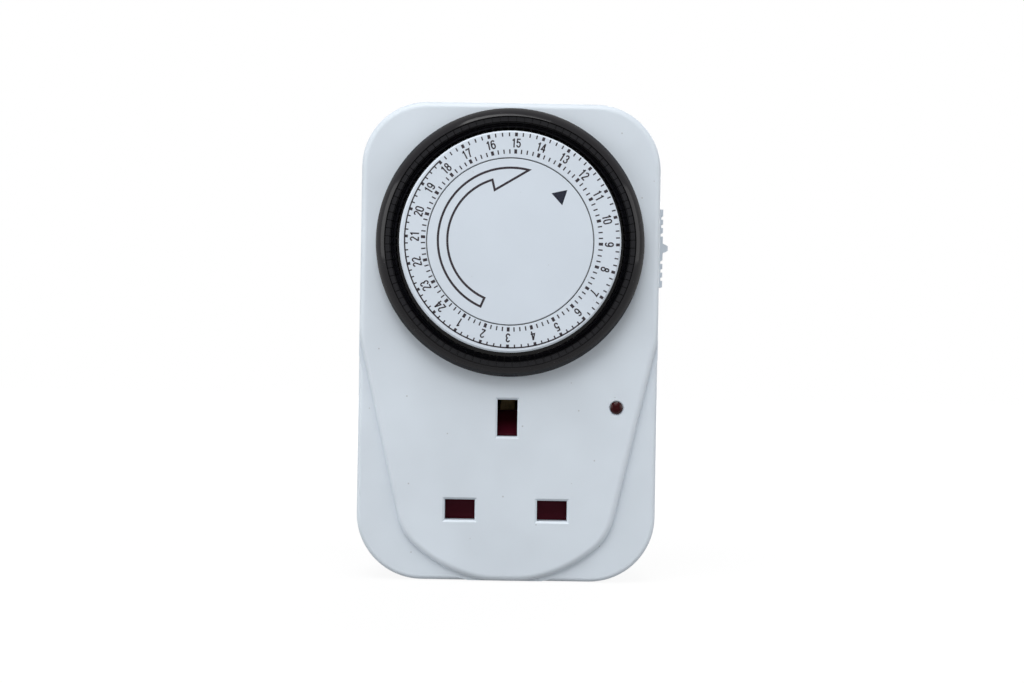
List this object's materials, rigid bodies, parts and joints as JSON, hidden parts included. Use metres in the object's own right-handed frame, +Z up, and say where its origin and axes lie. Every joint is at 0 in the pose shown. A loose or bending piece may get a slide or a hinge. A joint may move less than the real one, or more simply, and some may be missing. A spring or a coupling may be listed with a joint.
{
  "type": "mechanical plug-in timer",
  "caption": "Plug-in mechanical timer: rounded body with a turning dial ringed by push-in tappets, a shuttered socket in front, plug pins behind and a side override slider.",
  "frame": {"origin": "rear wall face, midway between the centres of the line and neutral pins", "axes": "+X to the right seen from the front, +Z up along the body towards the dial, +Y out of the rear face into the wall, so the dial faces -Y"},
  "size_m": [0.0751, 0.0679, 0.1151],
  "materials": {
    "casing": "fine satin moulded plastic, pale cool grey",
    "dial_black": "glossy black moulded plastic",
    "tappet_grey": "dull charcoal moulded plastic",
    "disc_white": "smooth satin white, printed",
    "inner_white": "plain natural moulded plastic",
    "gear_white": "natural acetal",
    "pin_brass": "machined, lightly tarnished",
    "contact_brass": "stamped strip",
    "pinion_brass": "hobbed",
    "sleeve_black": "moulded insulating sleeve",
    "shutter_maroon": "dark maroon moulded plastic",
    "screw_steel": "zinc plated",
    "spring_steel": "bright drawn",
    "plate_steel": "stamped and deburred",
    "motor_metal": "drawn can",
    "switch_black": "moulded phenolic",
    "slider_grey": "moulded plastic, as the casing",
    "lens_red": "dark red translucent moulding",
    "lamp_glass": "clear glass",
    "resistor_brown": "lacquered ceramic",
    "lead_tin": "tinned wire",
    "lead_blue": "insulated wire"
  },
  "bodies": {
    "case": {"front_cover": "casing", "rear_cover": "casing", "case_screws": "screw_steel", "line_pin": "pin_brass", "neutral_pin": "pin_brass", "earth_pin": "pin_brass", "pin_sleeves": "sleeve_black", "contact_carrier": "inner_white", "line_contact": "contact_brass", "neutral_contact": "contact_brass", "earth_contact": "contact_brass", "live_bar": "contact_brass", "shutter_spring": "spring_steel", "movement_plate": "plate_steel", "movement_screws": "screw_steel", "motor_can": "motor_metal", "idler_arbor": "spring_steel", "dial_hub": "inner_white", "centre_disc": "disc_white", "switch_case": "switch_black", "switch_terminals": "contact_brass", "lever_pin": "spring_steel", "indicator_lens": "lens_red", "neon_lamp": "lamp_glass", "lamp_resistor": "resistor_brown", "lamp_leads": "lead_tin", "motor_leads": "lead_blue"},
    "dial": {"dial_rim": "dial_black", "number_ring": "disc_white"},
    "idler": {"idler_gear": "gear_white"},
    "motor_rotor": {"motor_pinion": "pinion_brass"},
    "shutter_body": {"shutter": "shutter_maroon"},
    "override": {"override_slider": "slider_grey", "bridge_contact": "contact_brass"},
    "lever": {"follower_lever": "inner_white"},
    "plunger": {"switch_plunger": "gear_white"},
    "tappets_01": {"tappets_hour_01": "tappet_grey"},
    "tappets_02": {"tappets_hour_02": "tappet_grey"},
    "tappets_03": {"tappets_hour_03": "tappet_grey"},
    "tappets_04": {"tappets_hour_04": "tappet_grey"},
    "tappets_05": {"tappets_hour_05": "tappet_grey"},
    "tappets_06": {"tappets_hour_06": "tappet_grey"},
    "tappets_07": {"tappets_hour_07": "tappet_grey"},
    "tappets_08": {"tappets_hour_08": "tappet_grey"},
    "tappets_09": {"tappets_hour_09": "tappet_grey"},
    "tappets_10": {"tappets_hour_10": "tappet_grey"},
    "tappets_11": {"tappets_hour_11": "tappet_grey"},
    "tappets_12": {"tappets_hour_12": "tappet_grey"},
    "tappets_13": {"tappets_hour_13": "tappet_grey"},
    "tappets_14": {"tappets_hour_14": "tappet_grey"},
    "tappets_15": {"tappets_hour_15": "tappet_grey"},
    "tappets_16": {"tappets_hour_16": "tappet_grey"},
    "tappets_17": {"tappets_hour_17": "tappet_grey"},
    "tappets_18": {"tappets_hour_18": "tappet_grey"},
    "tappets_19": {"tappets_hour_19": "tappet_grey"},
    "tappets_20": {"tappets_hour_20": "tappet_grey"},
    "tappets_21": {"tappets_hour_21": "tappet_grey"},
    "tappets_22": {"tappets_hour_22": "tappet_grey"},
    "tappets_23": {"tappets_hour_23": "tappet_grey"},
    "tappets_24": {"tappets_hour_24": "tappet_grey"}
  },
  "joints": [
    {"name": "dial_spin", "type": "hinge", "parent": "case", "child": "dial", "pos_m": [0, -0.038, 0.0643], "axis": [0, 1, 0], "continuous": true},
    {"name": "idler_spin", "type": "hinge", "parent": "case", "child": "idler", "pos_m": [0, -0.029, 0.0391], "axis": [0, 1, 0], "continuous": true},
    {"name": "motor_spin", "type": "hinge", "parent": "case", "child": "motor_rotor", "pos_m": [0, -0.028, 0.0491], "axis": [0, 1, 0], "continuous": true},
    {"name": "shutter_slide", "type": "slide", "parent": "case", "child": "shutter_body", "axis": [0, 0, -1], "range_m": [0, 0.006], "stiffness_N_per_m": 120, "springref_m": -0.004, "deforming": ["shutter_spring"]},
    {"name": "override_slide", "type": "slide", "parent": "case", "child": "override", "axis": [0, 0, -1], "range_m": [0, 0.005]},
    {"name": "lever_tilt", "type": "hinge", "parent": "case", "child": "lever", "pos_m": [0.0118, -0.02965, 0.07511], "axis": [-0.6756, 0, 0.7373], "range_deg": [0, 5], "stiffness_Nm_per_rad": 0.02, "springref_deg": -5.73},
    {"name": "plunger_slide", "type": "slide", "parent": "case", "child": "plunger", "axis": [0, 1, 0], "range_m": [0, 0.0004]},
    {"name": "tappets_01_push", "type": "slide", "parent": "dial", "child": "tappets_01", "axis": [0, 1, 0], "range_m": [0, 0.0022]},
    {"name": "tappets_02_push", "type": "slide", "parent": "dial", "child": "tappets_02", "axis": [0, 1, 0], "range_m": [0, 0.0022]},
    {"name": "tappets_03_push", "type": "slide", "parent": "dial", "child": "tappets_03", "axis": [0, 1, 0], "range_m": [0, 0.0022]},
    {"name": "tappets_04_push", "type": "slide", "parent": "dial", "child": "tappets_04", "axis": [0, 1, 0], "range_m": [0, 0.0022]},
    {"name": "tappets_05_push", "type": "slide", "parent": "dial", "child": "tappets_05", "axis": [0, 1, 0], "range_m": [0, 0.0022]},
    {"name": "tappets_06_push", "type": "slide", "parent": "dial", "child": "tappets_06", "axis": [0, 1, 0], "range_m": [0, 0.0022]},
    {"name": "tappets_07_push", "type": "slide", "parent": "dial", "child": "tappets_07", "axis": [0, 1, 0], "range_m": [0, 0.0022]},
    {"name": "tappets_08_push", "type": "slide", "parent": "dial", "child": "tappets_08", "axis": [0, 1, 0], "range_m": [0, 0.0022]},
    {"name": "tappets_09_push", "type": "slide", "parent": "dial", "child": "tappets_09", "axis": [0, 1, 0], "range_m": [0, 0.0022]},
    {"name": "tappets_10_push", "type": "slide", "parent": "dial", "child": "tappets_10", "axis": [0, 1, 0], "range_m": [0, 0.0022]},
    {"name": "tappets_11_push", "type": "slide", "parent": "dial", "child": "tappets_11", "axis": [0, 1, 0], "range_m": [0, 0.0022]},
    {"name": "tappets_12_push", "type": "slide", "parent": "dial", "child": "tappets_12", "axis": [0, 1, 0], "range_m": [0, 0.0022]},
    {"name": "tappets_13_push", "type": "slide", "parent": "dial", "child": "tappets_13", "axis": [0, 1, 0], "range_m": [0, 0.0022]},
    {"name": "tappets_14_push", "type": "slide", "parent": "dial", "child": "tappets_14", "axis": [0, 1, 0], "range_m": [0, 0.0022]},
    {"name": "tappets_15_push", "type": "slide", "parent": "dial", "child": "tappets_15", "axis": [0, 1, 0], "range_m": [0, 0.0022]},
    {"name": "tappets_16_push", "type": "slide", "parent": "dial", "child": "tappets_16", "axis": [0, 1, 0], "range_m": [0, 0.0022]},
    {"name": "tappets_17_push", "type": "slide", "parent": "dial", "child": "tappets_17", "axis": [0, 1, 0], "range_m": [0, 0.0022]},
    {"name": "tappets_18_push", "type": "slide", "parent": "dial", "child": "tappets_18", "axis": [0, 1, 0], "range_m": [0, 0.0022]},
    {"name": "tappets_19_push", "type": "slide", "parent": "dial", "child": "tappets_19", "axis": [0, 1, 0], "range_m": [0, 0.0022]},
    {"name": "tappets_20_push", "type": "slide", "parent": "dial", "child": "tappets_20", "axis": [0, 1, 0], "range_m": [0, 0.0022]},
    {"name": "tappets_21_push", "type": "slide", "parent": "dial", "child": "tappets_21", "axis": [0, 1, 0], "range_m": [0, 0.0022]},
    {"name": "tappets_22_push", "type": "slide", "parent": "dial", "child": "tappets_22", "axis": [0, 1, 0], "range_m": [0, 0.0022]},
    {"name": "tappets_23_push", "type": "slide", "parent": "dial", "child": "tappets_23", "axis": [0, 1, 0], "range_m": [0, 0.0022]},
    {"name": "tappets_24_push", "type": "slide", "parent": "dial", "child": "tappets_24", "axis": [0, 1, 0], "range_m": [0, 0.0022]}
  ],
  "couplings": [
    {"joint": "idler_spin", "follows": "dial_spin", "ratio": 8},
    {"joint": "motor_spin", "follows": "dial_spin", "ratio": -24},
    {"joint": "lever_tilt", "follows": "plunger_slide", "rad_per_m": 181.82}
  ]
}
